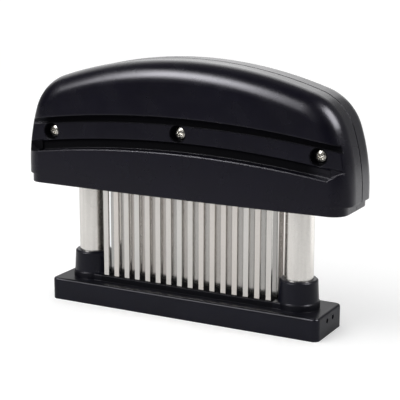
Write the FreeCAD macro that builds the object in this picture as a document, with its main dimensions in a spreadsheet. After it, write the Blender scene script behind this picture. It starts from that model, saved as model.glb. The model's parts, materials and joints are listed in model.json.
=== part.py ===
import FreeCAD, Part
import math
import os

import Sketcher

# Blade meat tenderizer: a moulded handle with a pack of flat blades slides down two steel
# posts, and the blades come out through the slots of the base plate. Springs inside the
# posts lift the handle again.
# X runs along the handle, -Y is the side with the screws, Z is up, and the origin lies on
# the underside of the base, at its centre. All sizes are in millimetres.

SIZES = {
    # base plate and the two bosses that hold the posts
    "base_width": 25.6,
    "base_height": 9.5,
    "base_corner_radius": 2.5,
    "base_edge_radius": 1.1,
    "boss_height": 12.0,
    "boss_foot_radius": 8.35,
    "boss_top_radius": 7.9,
    "boss_edge_chamfer": 0.6,
    "collar_radius": 8.8,
    "collar_height": 3.0,
    # raised comb between the bosses, with the slots that the blades pass through
    "comb_height": 2.6,
    "comb_wall": 0.6,
    "comb_edge_chamfer": 0.3,
    # steel rods that run through the base between the rows of slots
    "rod_diameter": 2.0,
    "rod_rise": 6.3,
    "rod_recess": 3.0,
    # posts, and what closes and holds them
    "post_inset": 13.9,
    "post_diameter": 12.0,
    "post_wall": 0.9,
    "post_seat": 7.6,
    "post_end_length": 1.8,
    "plug_length": 6.0,
    "post_screw_diameter": 3.0,
    "post_screw_reach": 4.2,
    "post_screw_head_diameter": 5.8,
    "post_screw_head_height": 1.9,
    "post_screw_recess": 0.4,
    "clip_width": 1.0,
    "clip_thickness": 1.0,
    "clip_opening": 7.6,
    # return springs and the pegs that guide them
    "spring_wire_diameter": 1.2,
    "spring_pitch": 6.8,
    "spring_wire_sides": 4,
    "spring_steps_per_turn": 6,
    "peg_reach": 33.0,
    "peg_flange_rim": 0.1,
    "peg_flange_thickness": 1.5,
    "peg_spigot_diameter": 5.0,
    "peg_spigot_height": 1.5,
    # travel of the handle
    "stroke": 30.0,
    "landing_gap": 0.5,
    "post_top_gap": 0.5,
    # blades
    "blade_count": 16,
    "blade_pitch": 5.14,
    "row_pitch": 5.9,
    "blade_width": 2.3,
    "blade_thickness": 1.2,
    "blade_tip_rise": 1.5,
    "blade_bevel": 2.6,
    "blade_edge_land": 0.2,
    "blade_head_width": 3.2,
    "blade_head_height": 1.6,
    # blade carrier and its clamp plate
    "carrier_recess": 0.4,
    "carrier_height": 18.0,
    "carrier_end_wall": 1.05,
    "carrier_side_wall": 3.1,
    "carrier_shoulder": 1.2,
    "clamp_thickness": 2.5,
    # handle, as two moulded half shells that meet at Y = 0
    "handle_overhang": 12.0,
    "shell_wall": 2.8,
    "face_wall": 3.8,
    "crown_arc_radius": 181.0,
    "shoulder_radius": 22.0,
    "end_arc_radius": 80.0,
    "end_wall_rise": 7.0,
    "crown_fillet": 8.5,
    "skirt_bow": 1.1,
    "skirt_bow_inset": 9.0,
    "lip_height": 3.6,
    "lip_end_inset": 2.2,
    "lip_corner_radius": 6.5,
    "floor_thickness": 4.0,
    "sleeve_height": 5.0,
    "sleeve_wall": 1.3,
    "seam_chamfer": 0.3,
    "band_stations": 5,
    # grooved band across each face: rise of each line at X = 0 and the radius of its arc
    "skirt_line_rise": 18.6,
    "skirt_line_radius": 465.0,
    "band_foot_rise": 22.6,
    "band_foot_radius": 480.0,
    "band_head_rise": 30.0,
    "band_head_radius": 510.0,
    "panel_edge_rise": 33.1,
    "panel_edge_radius": 440.0,
    "band_depth": 2.5,
    "stripe_depth": 3.2,
    "stripe_lip": 0.5,
    "groove_depth": 3.8,
    "groove_shelf": 3.9,
    "groove_lip": 0.6,
    "groove_end_depth": 3.0,
    "groove_end_inset": 8.5,
    "groove_run_out": 6.1,
    "groove_backing": 1.3,
    # screws that hold the two shells together
    "case_screw_inset": 13.5,
    "case_screw_end_rise": 22.4,
    "case_screw_middle_rise": 26.2,
    "case_screw_seat_depth": 6.2,
    "case_screw_length": 17.4,
    "case_screw_diameter": 2.9,
    "case_screw_head_diameter": 4.8,
    "case_screw_head_height": 1.7,
    "case_screw_recess_diameter": 7.0,
    "case_screw_boss_wall": 1.2,
    "cross_recess_length": 3.0,
    "cross_recess_width": 0.8,
    "cross_recess_depth": 0.9,
    # ribs inside the shells
    "rib_thickness": 2.0,
    "rib_spacing": 40.0,
    "rib_height": 7.0,
    "rib_setback": 3.0,
    "peg_pad_wall": 1.0,
    "peg_pad_depth": 6.0,
    # clearances
    "press_gap": 0.05,
    "blade_fit": 0.1,
    "slot_gap": 0.3,
    "sleeve_gap": 0.3,
    "stop_gap": 0.2,
    "screw_hole_gap": 0.2,
    "spring_gap": 0.5,
    "peg_gap": 0.6,
    "carrier_end_gap": 0.3,
    "carrier_side_gap": 0.4,
    "crown_gap": 0.4,
}

# Levels above the underside of the base, each worked out from what stands on what.
BOSS_TOP = "(Sizes.base_height + Sizes.boss_height)"
UNDERSIDE = f"({BOSS_TOP} + Sizes.landing_gap + Sizes.stroke)"
LIP_TOP = f"({UNDERSIDE} + Sizes.lip_height)"
FLOOR_TOP = f"({UNDERSIDE} + Sizes.floor_thickness)"
SLEEVE_TOP = f"({FLOOR_TOP} + Sizes.sleeve_height)"
CLIP_FOOT = f"({SLEEVE_TOP} + Sizes.stop_gap)"
CLIP_TOP = f"({CLIP_FOOT} + Sizes.clip_thickness)"
POST_TOP = f"({CLIP_TOP} + Sizes.post_end_length)"
PLUG_TOP = "(Sizes.post_seat + Sizes.plug_length)"
SPRING_TOP = f"({POST_TOP} + Sizes.stroke + Sizes.post_top_gap)"
PEG_SEAT = f"({SPRING_TOP} + Sizes.peg_flange_thickness)"
CARRIER_TOP = f"({UNDERSIDE} + Sizes.carrier_height)"
CLAMP_TOP = f"({CARRIER_TOP} + Sizes.clamp_thickness)"

# Radii of what stands inside one another at each post.
POST_RADIUS = "(Sizes.post_diameter / 2)"
POST_BORE_RADIUS = f"({POST_RADIUS} - Sizes.post_wall)"
SPRING_RADIUS = f"({POST_BORE_RADIUS} - Sizes.spring_gap)"
PEG_RADIUS = f"({SPRING_RADIUS} - Sizes.spring_wire_diameter - Sizes.peg_gap)"
PEG_FLANGE_RADIUS = f"({SPRING_RADIUS} + Sizes.peg_flange_rim)"
PEG_SPIGOT_RADIUS = "(Sizes.peg_spigot_diameter / 2)"
SLEEVE_BORE_RADIUS = f"({POST_RADIUS} + Sizes.sleeve_gap)"
SLEEVE_RADIUS = f"({SLEEVE_BORE_RADIUS} + Sizes.sleeve_wall)"

# Along X the posts stand beside the blades, and the ends of the base and the handle follow.
FIRST_BLADE_X = "(-(Sizes.blade_count - 1) / 2 * Sizes.blade_pitch)"
CARRIER_HALF_LENGTH = f"(Sizes.blade_head_width / 2 + Sizes.carrier_end_wall - {FIRST_BLADE_X})"
POST_X = f"({CARRIER_HALF_LENGTH} + Sizes.carrier_end_gap + {SLEEVE_RADIUS})"
BASE_HALF_LENGTH = f"({POST_X} + Sizes.post_inset)"
HANDLE_HALF_LENGTH = f"({BASE_HALF_LENGTH} + Sizes.handle_overhang)"
CASE_SCREW_X = f"({HANDLE_HALF_LENGTH} - Sizes.case_screw_inset)"

# Across Y the flat faces of the handle clear the blade carrier.
CARRIER_HALF_WIDTH = "(Sizes.row_pitch + Sizes.blade_thickness / 2 + Sizes.carrier_side_wall)"
PANEL_Y = f"({CARRIER_HALF_WIDTH} + Sizes.carrier_side_gap + Sizes.groove_backing + Sizes.groove_depth)"
CASE_SCREW_SEAT = f"({PANEL_Y} - Sizes.case_screw_seat_depth)"

# The arched ceiling of the handle clears the outer rim of each peg's flange.
CEILING_RADIUS = "(Sizes.crown_arc_radius - Sizes.shell_wall)"
CEILING_DROP = f"({CEILING_RADIUS} - sqrt({CEILING_RADIUS} ^ 2 - ({POST_X} + {PEG_FLANGE_RADIUS}) ^ 2))"
HANDLE_TOP = f"({PEG_SEAT} + Sizes.crown_gap + {CEILING_DROP} + Sizes.shell_wall)"

FRONT, REAR = -1, 1
LEFT, RIGHT = -1, 1

# Rows of blades, as steps of the row pitch from the middle of the handle.
BLADE_ROWS = {"front": -1, "middle": 0, "rear": 1}

# Arcs that bound the grooved band across each face of the handle, from below.
BAND_LINES = ("skirt_line", "band_foot", "band_head", "panel_edge")

# How far apart two lengths may lie and still count as the same.
TOLERANCE = 1e-4

# How far a tool that cuts right through reaches past the material.
CLEAR = 1.0

doc = FreeCAD.newDocument("MeatTenderizer")
sheet = doc.addObject("Spreadsheet::Sheet", "Sizes")
for row, (alias, size) in enumerate(SIZES.items(), start=1):
    sheet.set(f"A{row}", alias)
    sheet.set(f"B{row}", str(size))
    sheet.setAlias(f"B{row}", alias)
doc.recompute()


def number(expression):
    """Value of an expression on the sheet, for geometry that is worked out in code."""
    result = sheet.evalExpression(str(expression))
    return float(getattr(result, "Value", result))


# ---------------------------------------------------------------- sketch and feature helpers


def new_body(label):
    body = doc.addObject("PartDesign::Body", label)
    body.Label = label
    return body


def origin_feature(body, role):
    return next(item for item in body.Origin.OriginFeatures if item.Role == role)


def new_sketch(body, name, plane, offset=None):
    """Sketch on one of the body's own origin planes, moved along its normal by offset."""
    sketch = body.newObject("Sketcher::SketchObject", name)
    sketch.AttachmentSupport = [(origin_feature(body, plane), "")]
    sketch.MapMode = "FlatFace"
    if offset is not None:
        sketch.setExpression("AttachmentOffset.Base.z", offset)
    doc.recompute()
    return sketch


def pin_point(sketch, geometry, position, x, y):
    """Hold one point of the sketch at expressions x and y, measured from the origin."""
    for kind, expression in (("DistanceX", x), ("DistanceY", y)):
        where = Sketcher.Constraint(kind, -1, 1, geometry, position, number(expression))
        sketch.setExpression(f"Constraints[{sketch.addConstraint(where)}]", str(expression))


def add_polygon(sketch, corners):
    """Closed run of straight lines through corners, which are pairs of expressions."""
    points = [FreeCAD.Vector(number(x), number(y), 0) for x, y in corners]
    lines = []
    for start, end in zip(points, points[1:] + points[:1]):
        lines.append(sketch.addGeometry(Part.LineSegment(start, end), False))
    for line, following in zip(lines, lines[1:] + lines[:1]):
        sketch.addConstraint(Sketcher.Constraint("Coincident", line, 2, following, 1))
    for line, (x, y) in zip(lines, corners):
        pin_point(sketch, line, 1, x, y)
    return lines


def add_rectangle(sketch, x_low, x_high, y_low, y_high):
    corners = [(x_low, y_low), (x_high, y_low), (x_high, y_high), (x_low, y_high)]
    return add_polygon(sketch, corners)


def add_centred_rectangle(sketch, width, height):
    add_rectangle(sketch, f"-({width}) / 2", f"({width}) / 2", f"-({height}) / 2", f"({height}) / 2")


def add_circle(sketch, radius, x="0", y="0"):
    centre = FreeCAD.Vector(number(x), number(y), 0)
    circle = Part.Circle(centre, FreeCAD.Vector(0, 0, 1), number(radius))
    geometry = sketch.addGeometry(circle, False)
    pin_point(sketch, geometry, 3, x, y)
    index = sketch.addConstraint(Sketcher.Constraint("Radius", geometry, number(radius)))
    sketch.setExpression(f"Constraints[{index}]", str(radius))


def add_curves(sketch, curves):
    """Closed run of lines and arcs, each starting where the one before it ends."""
    ends = []
    for curve in curves:
        index = sketch.addGeometry(curve, False)
        start = curve.value(curve.FirstParameter)
        # the sketch turns a clockwise arc round, which swaps its two ends
        kept = near(sketch.getPoint(index, 1).distanceToPoint(start), 0)
        ends.append((index, 1, 2) if kept else (index, 2, 1))
    for (index, _, finish), (following, begin, _) in zip(ends, ends[1:] + ends[:1]):
        sketch.addConstraint(Sketcher.Constraint("Coincident", index, finish, following, begin))


def add_pad(body, name, sketch, length, reverse=False, both_sides=False):
    pad = body.newObject("PartDesign::Pad", name)
    pad.Profile = sketch
    pad.Reversed = reverse
    if both_sides:
        pad.SideType = "Symmetric"
    pad.setExpression("Length", length)
    doc.recompute()
    return pad


def add_pocket(body, name, sketch, length, reverse=False, both_sides=False):
    """Cut the sketch out of the body and insist that it takes material away."""
    before = body.Tip.Shape.Volume
    pocket = body.newObject("PartDesign::Pocket", name)
    pocket.Profile = sketch
    pocket.Reversed = reverse
    if both_sides:
        pocket.SideType = "Symmetric"
    pocket.setExpression("Length", length)
    doc.recompute()
    if not pocket.Shape.Volume < before:
        raise RuntimeError(f"{body.Label}: {name} cuts nothing")
    return pocket


def add_revolution(body, name, sketch, axis="V_Axis"):
    turned = body.newObject("PartDesign::Revolution", name)
    turned.Profile = sketch
    turned.ReferenceAxis = (sketch, [axis])
    turned.Angle = 360.0
    doc.recompute()
    return turned


def add_row_pattern(body, name, feature, sketch, count, spacing):
    """Repeat a feature along the horizontal axis of its sketch."""
    pattern = body.newObject("PartDesign::LinearPattern", name)
    pattern.Originals = [feature]
    pattern.Direction = (sketch, ["H_Axis"])
    pattern.Mode = "Spacing"
    pattern.setExpression("Offset", spacing)
    pattern.setExpression("Occurrences", count)
    body.Tip = pattern
    doc.recompute()
    return pattern


def add_grid_pattern(body, name, feature, sketch):
    """Repeat a feature of the first blade in every row, along both axes of its sketch."""
    pattern = add_row_pattern(body, name, feature, sketch, "Sizes.blade_count", "Sizes.blade_pitch")
    pattern.Direction2 = (sketch, ["V_Axis"])
    pattern.Mode2 = "Spacing"
    pattern.setExpression("Offset2", "Sizes.row_pitch")
    pattern.Occurrences2 = len(BLADE_ROWS)
    doc.recompute()
    return pattern


def mirror_across_yz(body, name, features):
    mirrored = body.newObject("PartDesign::Mirrored", name)
    mirrored.Originals = features
    mirrored.MirrorPlane = (origin_feature(body, "YZ_Plane"), [""])
    body.Tip = mirrored
    doc.recompute()
    return mirrored


def dress_edges(body, kind, name, size_property, size, wanted):
    """Fillet or chamfer every edge of the body's tip that the wanted test accepts."""
    tip = body.Tip
    names = [f"Edge{i}" for i, edge in enumerate(tip.Shape.Edges, start=1) if wanted(edge)]
    dressed = body.newObject(kind, name)
    dressed.Base = (tip, names)
    dressed.setExpression(size_property, size)
    doc.recompute()
    return dressed


def fillet_edges(body, name, radius, wanted):
    return dress_edges(body, "PartDesign::Fillet", name, "Radius", radius, wanted)


def chamfer_edges(body, name, size, wanted):
    return dress_edges(body, "PartDesign::Chamfer", name, "Size", size, wanted)


def near(a, b):
    return abs(a - b) < TOLERANCE


def is_upright(edge):
    """True for a straight edge that runs along Z."""
    box = edge.BoundBox
    return not near(box.ZLength, 0) and near(box.XLength, 0) and near(box.YLength, 0)


def rises_above(edge, height):
    return edge.BoundBox.ZMax > height + TOLERANCE


def place(body, x="0", y="0", z="0"):
    for axis, expression in zip("xyz", (x, y, z)):
        body.setExpression(f"Placement.Base.{axis}", str(expression))
    doc.recompute()


# ---------------------------------------------------------------- base


def base_plate():
    """Slotted plate with two hollow bosses: posts stand in them, blades pass between them."""
    body = new_body("base_plate")
    outline = new_sketch(body, "PlateOutline", "XY_Plane")
    add_centred_rectangle(outline, f"2 * {BASE_HALF_LENGTH}", "Sizes.base_width")
    add_pad(body, "Plate", outline, "Sizes.base_height")
    fillet_edges(body, "PlateCorners", "Sizes.base_corner_radius", is_upright)
    top = number("Sizes.base_height")
    fillet_edges(body, "PlateEdge", "Sizes.base_edge_radius",
                 lambda edge: near(edge.BoundBox.ZMin, top) and near(edge.BoundBox.ZMax, top))

    half_depth = "(Sizes.blade_thickness / 2 + Sizes.slot_gap)"
    comb = new_sketch(body, "CombOutline", "XY_Plane", "Sizes.base_height")
    comb_half_width = f"(Sizes.row_pitch + {half_depth} + Sizes.comb_wall)"
    add_centred_rectangle(comb, f"2 * {POST_X}", f"2 * {comb_half_width}")
    add_pad(body, "Comb", comb, "Sizes.comb_height")
    comb_top = number("Sizes.base_height + Sizes.comb_height")
    chamfer_edges(body, "CombEdges", "Sizes.comb_edge_chamfer",
                  lambda edge: near(edge.BoundBox.ZMin, comb_top) and near(edge.BoundBox.YLength, 0))

    profile = new_sketch(body, "BossProfile", "XZ_Plane")
    collar_top = "(Sizes.base_height + Sizes.collar_height)"
    inside = "Sizes.base_height / 2"
    corners = [
        ("0", inside),
        ("Sizes.collar_radius", inside),
        ("Sizes.collar_radius", f"{collar_top} - (Sizes.collar_radius - Sizes.boss_foot_radius)"),
        ("Sizes.boss_foot_radius", collar_top),
        ("Sizes.boss_top_radius", f"{BOSS_TOP} - Sizes.boss_edge_chamfer"),
        ("Sizes.boss_top_radius - Sizes.boss_edge_chamfer", BOSS_TOP),
        ("0", BOSS_TOP),
    ]
    add_polygon(profile, [(f"{POST_X} + {x}", z) for x, z in corners])
    axis = Part.LineSegment(FreeCAD.Vector(number(POST_X), 0, 0), FreeCAD.Vector(number(POST_X), 1, 0))
    centre_line = profile.addGeometry(axis, True)
    pin_point(profile, centre_line, 1, POST_X, "0")
    pin_point(profile, centre_line, 2, POST_X, "1")
    boss = add_revolution(body, "Boss", profile, "Axis0")
    mirror_across_yz(body, "BossPair", [boss])

    bores = new_sketch(body, "PostBores", "XY_Plane", BOSS_TOP)
    holes = new_sketch(body, "ScrewHoles", "XY_Plane")
    seats = new_sketch(body, "ScrewHeadSeats", "XY_Plane")
    for side in (LEFT, RIGHT):
        add_circle(bores, f"{POST_RADIUS} + Sizes.press_gap", f"{side} * {POST_X}")
        add_circle(holes, "Sizes.post_screw_diameter / 2 + Sizes.screw_hole_gap", f"{side} * {POST_X}")
        add_circle(seats, "Sizes.post_screw_head_diameter / 2 + Sizes.screw_hole_gap",
                   f"{side} * {POST_X}")
    add_pocket(body, "PostBorePair", bores, f"{BOSS_TOP} - Sizes.post_seat")
    add_pocket(body, "ScrewHolePair", holes, "Sizes.base_height", reverse=True)
    add_pocket(body, "ScrewHeadSeatPair", seats,
               "Sizes.post_screw_head_height + Sizes.post_screw_recess", reverse=True)

    rods = new_sketch(body, "RodBores", "YZ_Plane")
    for side in (FRONT, REAR):
        add_circle(rods, "Sizes.rod_diameter / 2 + Sizes.press_gap",
                   f"{side} * Sizes.row_pitch / 2", "Sizes.rod_rise")
    add_pocket(body, "RodBorePair", rods, f"2 * {BASE_HALF_LENGTH} + {CLEAR}", both_sides=True)

    slot = new_sketch(body, "FirstSlot", "XY_Plane")
    half_width = "(Sizes.blade_width / 2 + Sizes.slot_gap)"
    add_rectangle(slot, f"{FIRST_BLADE_X} - {half_width}", f"{FIRST_BLADE_X} + {half_width}",
                  f"-Sizes.row_pitch - {half_depth}", f"-Sizes.row_pitch + {half_depth}")
    cut = add_pocket(body, "Slot", slot, "Sizes.base_height + Sizes.comb_height", reverse=True)
    add_grid_pattern(body, "SlotGrid", cut, slot)
    return body


def base_rod(label, side):
    """Steel rod along the base, between two rows of slots, its ends just inside the plate."""
    rod = doc.addObject("Part::Cylinder", label)
    rod.Label = label
    rod.Placement = FreeCAD.Placement(FreeCAD.Vector(), FreeCAD.Rotation(FreeCAD.Vector(0, 1, 0), 90))
    rod.setExpression("Radius", "Sizes.rod_diameter / 2")
    rod.setExpression("Height", f"2 * ({BASE_HALF_LENGTH} - Sizes.rod_recess)")
    place(rod, f"Sizes.rod_recess - {BASE_HALF_LENGTH}", f"{side} * Sizes.row_pitch / 2",
          "Sizes.rod_rise")
    return rod


# ---------------------------------------------------------------- posts and springs


def post(label, side):
    """Steel tube that stands in the boss and carries the handle's sleeve."""
    body = new_body(label)
    wall = new_sketch(body, "WallSection", "XY_Plane", "Sizes.post_seat")
    add_circle(wall, POST_RADIUS)
    add_circle(wall, POST_BORE_RADIUS)
    add_pad(body, "Tube", wall, f"{POST_TOP} - Sizes.post_seat")
    place(body, f"{side} * {POST_X}")
    return body


def post_plug(label, side):
    """Threaded plug in the foot of the post; its top is the lower seat of the spring."""
    body = new_body(label)
    section = new_sketch(body, "PlugSection", "XZ_Plane")
    hole = "(Sizes.post_screw_diameter / 2 + Sizes.press_gap)"
    hole_top = "Sizes.post_seat + Sizes.post_screw_reach + Sizes.screw_hole_gap"
    radius = f"{POST_BORE_RADIUS} - Sizes.press_gap"
    add_polygon(section, [
        (hole, "Sizes.post_seat"),
        (radius, "Sizes.post_seat"),
        (radius, PLUG_TOP),
        ("0", PLUG_TOP),
        ("0", hole_top),
        (hole, hole_top),
    ])
    add_revolution(body, "Plug", section)
    place(body, f"{side} * {POST_X}")
    return body


def post_screw(label, side):
    """Screw that holds the post down from below, its head sunk in the base."""
    body = new_body(label)
    section = new_sketch(body, "ScrewSection", "XZ_Plane")
    head_radius = "Sizes.post_screw_head_diameter / 2"
    shank_radius = "Sizes.post_screw_diameter / 2"
    head_foot = "Sizes.post_screw_recess"
    head_top = "Sizes.post_screw_recess + Sizes.post_screw_head_height"
    add_polygon(section, [
        ("0", head_foot),
        (head_radius, head_foot),
        (head_radius, head_top),
        (shank_radius, head_top),
        (shank_radius, "Sizes.post_seat + Sizes.post_screw_reach"),
        ("0", "Sizes.post_seat + Sizes.post_screw_reach"),
    ])
    add_revolution(body, "Screw", section)
    cross_recess(body, head_foot, reverse=True)
    place(body, f"{side} * {POST_X}")
    return body


def cross_recess(body, face, reverse):
    """Cross-shaped driver recess at height face, cut into the screw's head."""
    sketch = new_sketch(body, "CrossRecess", "XY_Plane", face)
    long, short = "(Sizes.cross_recess_length / 2)", "(Sizes.cross_recess_width / 2)"
    quarter = [(long, short), (short, short), (short, long)]
    corners = []
    for x_sign, y_sign in ((1, 1), (-1, 1), (-1, -1), (1, -1)):
        turned = [(f"{x_sign} * {x}", f"{y_sign} * {y}") for x, y in quarter]
        corners += turned if x_sign == y_sign else turned[::-1]
    add_polygon(sketch, corners)
    add_pocket(body, "CrossRecessCut", sketch, "Sizes.cross_recess_depth", reverse=reverse)


def post_clip(label, side):
    """Open spring ring pushed on the post; the handle's sleeve stops against it."""
    body = new_body(label)
    ring = new_sketch(body, "Ring", "XY_Plane", CLIP_FOOT)
    add_circle(ring, f"{POST_RADIUS} + Sizes.clip_width")
    add_circle(ring, f"{POST_RADIUS} + Sizes.press_gap")
    add_pad(body, "RingPad", ring, "Sizes.clip_thickness")
    gap = new_sketch(body, "Opening", "XY_Plane", CLIP_FOOT)
    add_rectangle(gap, "-Sizes.clip_opening / 2", "Sizes.clip_opening / 2", "0",
                  f"{POST_RADIUS} + Sizes.clip_width + {CLEAR}")
    add_pocket(body, "OpeningCut", gap, "Sizes.clip_thickness", reverse=True)
    place(body, f"{side} * {POST_X}")
    return body


def spring(label, side):
    """Compression spring from the plug to the peg's flange.

    The wire keeps the same square section, turned about Z and lifted by one pitch a turn;
    straight stretches join the sections.
    """
    foot, head = number(PLUG_TOP), number(SPRING_TOP)
    wire_radius = number("Sizes.spring_wire_diameter / 2")
    coil_radius = number(SPRING_RADIUS) - wire_radius
    sides = round(number("Sizes.spring_wire_sides"))
    steps_per_turn = round(number("Sizes.spring_steps_per_turn"))
    points = []
    for index in range(sides + 1):
        angle = 2 * math.pi * index / sides
        points.append(FreeCAD.Vector(coil_radius + wire_radius * math.cos(angle), 0,
                                     wire_radius * math.sin(angle)))
    first = Part.makePolygon(points)
    lift = head - foot - 2 * wire_radius
    steps = round(steps_per_turn * lift / number("Sizes.spring_pitch"))
    sections = []
    for step in range(steps + 1):
        section = first.copy()
        section.rotate(FreeCAD.Vector(), FreeCAD.Vector(0, 0, 1), 360.0 * step / steps_per_turn)
        section.translate(FreeCAD.Vector(0, 0, foot + wire_radius + lift * step / steps))
        sections.append(section)
    coil = doc.addObject("Part::Feature", label)
    coil.Label = label
    coil.Shape = Part.makeLoft(sections, True, True)
    place(coil, f"{side} * {POST_X}")
    return coil


def spring_peg(label, side):
    """Peg that keeps the spring straight; its flange presses on the spring."""
    body = new_body(label)
    section = new_sketch(body, "PegSection", "XZ_Plane")
    foot = f"({SPRING_TOP} - Sizes.peg_reach)"
    add_polygon(section, [
        ("0", foot),
        (PEG_RADIUS, foot),
        (PEG_RADIUS, SPRING_TOP),
        (PEG_FLANGE_RADIUS, SPRING_TOP),
        (PEG_FLANGE_RADIUS, PEG_SEAT),
        (PEG_SPIGOT_RADIUS, PEG_SEAT),
        (PEG_SPIGOT_RADIUS, f"{PEG_SEAT} + Sizes.peg_spigot_height"),
        ("0", f"{PEG_SEAT} + Sizes.peg_spigot_height"),
    ])
    add_revolution(body, "Peg", section)
    place(body, f"{side} * {POST_X}")
    return body


# ---------------------------------------------------------------- blades and their carrier


def blade_row(label, row):
    """One row of flat blades with T-shaped heads and chisel-ground edges."""
    body = new_body(label)
    face = new_sketch(body, "BladeFace", "XZ_Plane")
    half, head = "Sizes.blade_width / 2", "Sizes.blade_head_width / 2"
    neck = f"{CARRIER_TOP} - Sizes.blade_head_height"
    corners = [
        (f"-{half}", "Sizes.blade_tip_rise"),
        (half, "Sizes.blade_tip_rise"),
        (half, neck),
        (head, neck),
        (head, CARRIER_TOP),
        (f"-{head}", CARRIER_TOP),
        (f"-{head}", neck),
        (f"-{half}", neck),
    ]
    add_polygon(face, [(f"{FIRST_BLADE_X} + {x}", z) for x, z in corners])
    strip = add_pad(body, "Strip", face, "Sizes.blade_thickness", both_sides=True)
    side = new_sketch(body, "BevelSide", "YZ_Plane", FIRST_BLADE_X)
    front, rear = "-Sizes.blade_thickness / 2", "Sizes.blade_thickness / 2"
    below = f"Sizes.blade_tip_rise - {CLEAR}"
    add_polygon(side, [
        (f"{front} - {CLEAR}", below),
        (f"{rear} - Sizes.blade_edge_land", below),
        (f"{rear} - Sizes.blade_edge_land", "Sizes.blade_tip_rise"),
        (front, "Sizes.blade_tip_rise + Sizes.blade_bevel"),
        (f"{front} - {CLEAR}", "Sizes.blade_tip_rise + Sizes.blade_bevel"),
    ])
    bevel = add_pocket(body, "Bevel", side, f"Sizes.blade_width + {CLEAR}", both_sides=True)
    pattern = add_row_pattern(body, "Row", strip, face, "Sizes.blade_count", "Sizes.blade_pitch")
    pattern.Originals = [strip, bevel]
    place(body, y=f"{row} * Sizes.row_pitch")
    return body


def blade_carrier():
    """Moulded block that the blades drop into from above, their heads in one groove a row."""
    body = new_body("blade_carrier")
    foot = new_sketch(body, "FootOutline", "XY_Plane", f"{UNDERSIDE} + Sizes.carrier_recess")
    add_centred_rectangle(foot, f"2 * ({CARRIER_HALF_LENGTH} - Sizes.carrier_shoulder / 2)",
                          f"2 * ({CARRIER_HALF_WIDTH} - Sizes.carrier_shoulder)")
    add_pad(body, "Foot", foot, f"{FLOOR_TOP} - {UNDERSIDE} - Sizes.carrier_recess")
    block = new_sketch(body, "BlockOutline", "XY_Plane", FLOOR_TOP)
    add_centred_rectangle(block, f"2 * {CARRIER_HALF_LENGTH}", f"2 * {CARRIER_HALF_WIDTH}")
    add_pad(body, "Block", block, f"{CARRIER_TOP} - {FLOOR_TOP}")

    slot_half_depth = "(Sizes.blade_thickness / 2 + Sizes.blade_fit)"
    slot_half_width = "(Sizes.blade_width / 2 + Sizes.blade_fit)"
    slot = new_sketch(body, "FirstSlot", "XY_Plane", CARRIER_TOP)
    add_rectangle(slot, f"{FIRST_BLADE_X} - {slot_half_width}", f"{FIRST_BLADE_X} + {slot_half_width}",
                  f"-Sizes.row_pitch - {slot_half_depth}", f"-Sizes.row_pitch + {slot_half_depth}")
    cut = add_pocket(body, "Slot", slot, "Sizes.carrier_height")
    add_grid_pattern(body, "SlotGrid", cut, slot)

    heads = new_sketch(body, "HeadGrooves", "XY_Plane", CARRIER_TOP)
    groove_end = f"(Sizes.blade_head_width / 2 + Sizes.blade_fit - {FIRST_BLADE_X})"
    for row in BLADE_ROWS.values():
        middle = f"{row} * Sizes.row_pitch"
        add_rectangle(heads, f"-{groove_end}", groove_end, f"{middle} - {slot_half_depth}",
                      f"{middle} + {slot_half_depth}")
    add_pocket(body, "HeadGroovesCut", heads, "Sizes.blade_head_height")
    return body


def blade_clamp_plate():
    """Plate over the blade heads, held down by the ribs of the two shells."""
    body = new_body("blade_clamp_plate")
    outline = new_sketch(body, "PlateOutline", "XY_Plane", CARRIER_TOP)
    add_centred_rectangle(outline, f"2 * {CARRIER_HALF_LENGTH}", f"2 * {CARRIER_HALF_WIDTH}")
    add_pad(body, "Plate", outline, "Sizes.clamp_thickness")
    chamfer_edges(body, "PlateCorners", "Sizes.clamp_thickness / 2", is_upright)
    return body


# ---------------------------------------------------------------- handle


def meeting_point(centre, towards, radius):
    """Point at radius from centre, on the ray from centre through towards."""
    reach = math.hypot(towards[0] - centre[0], towards[1] - centre[1])
    return (centre[0] + (towards[0] - centre[0]) * radius / reach,
            centre[1] + (towards[1] - centre[1]) * radius / reach)


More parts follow.
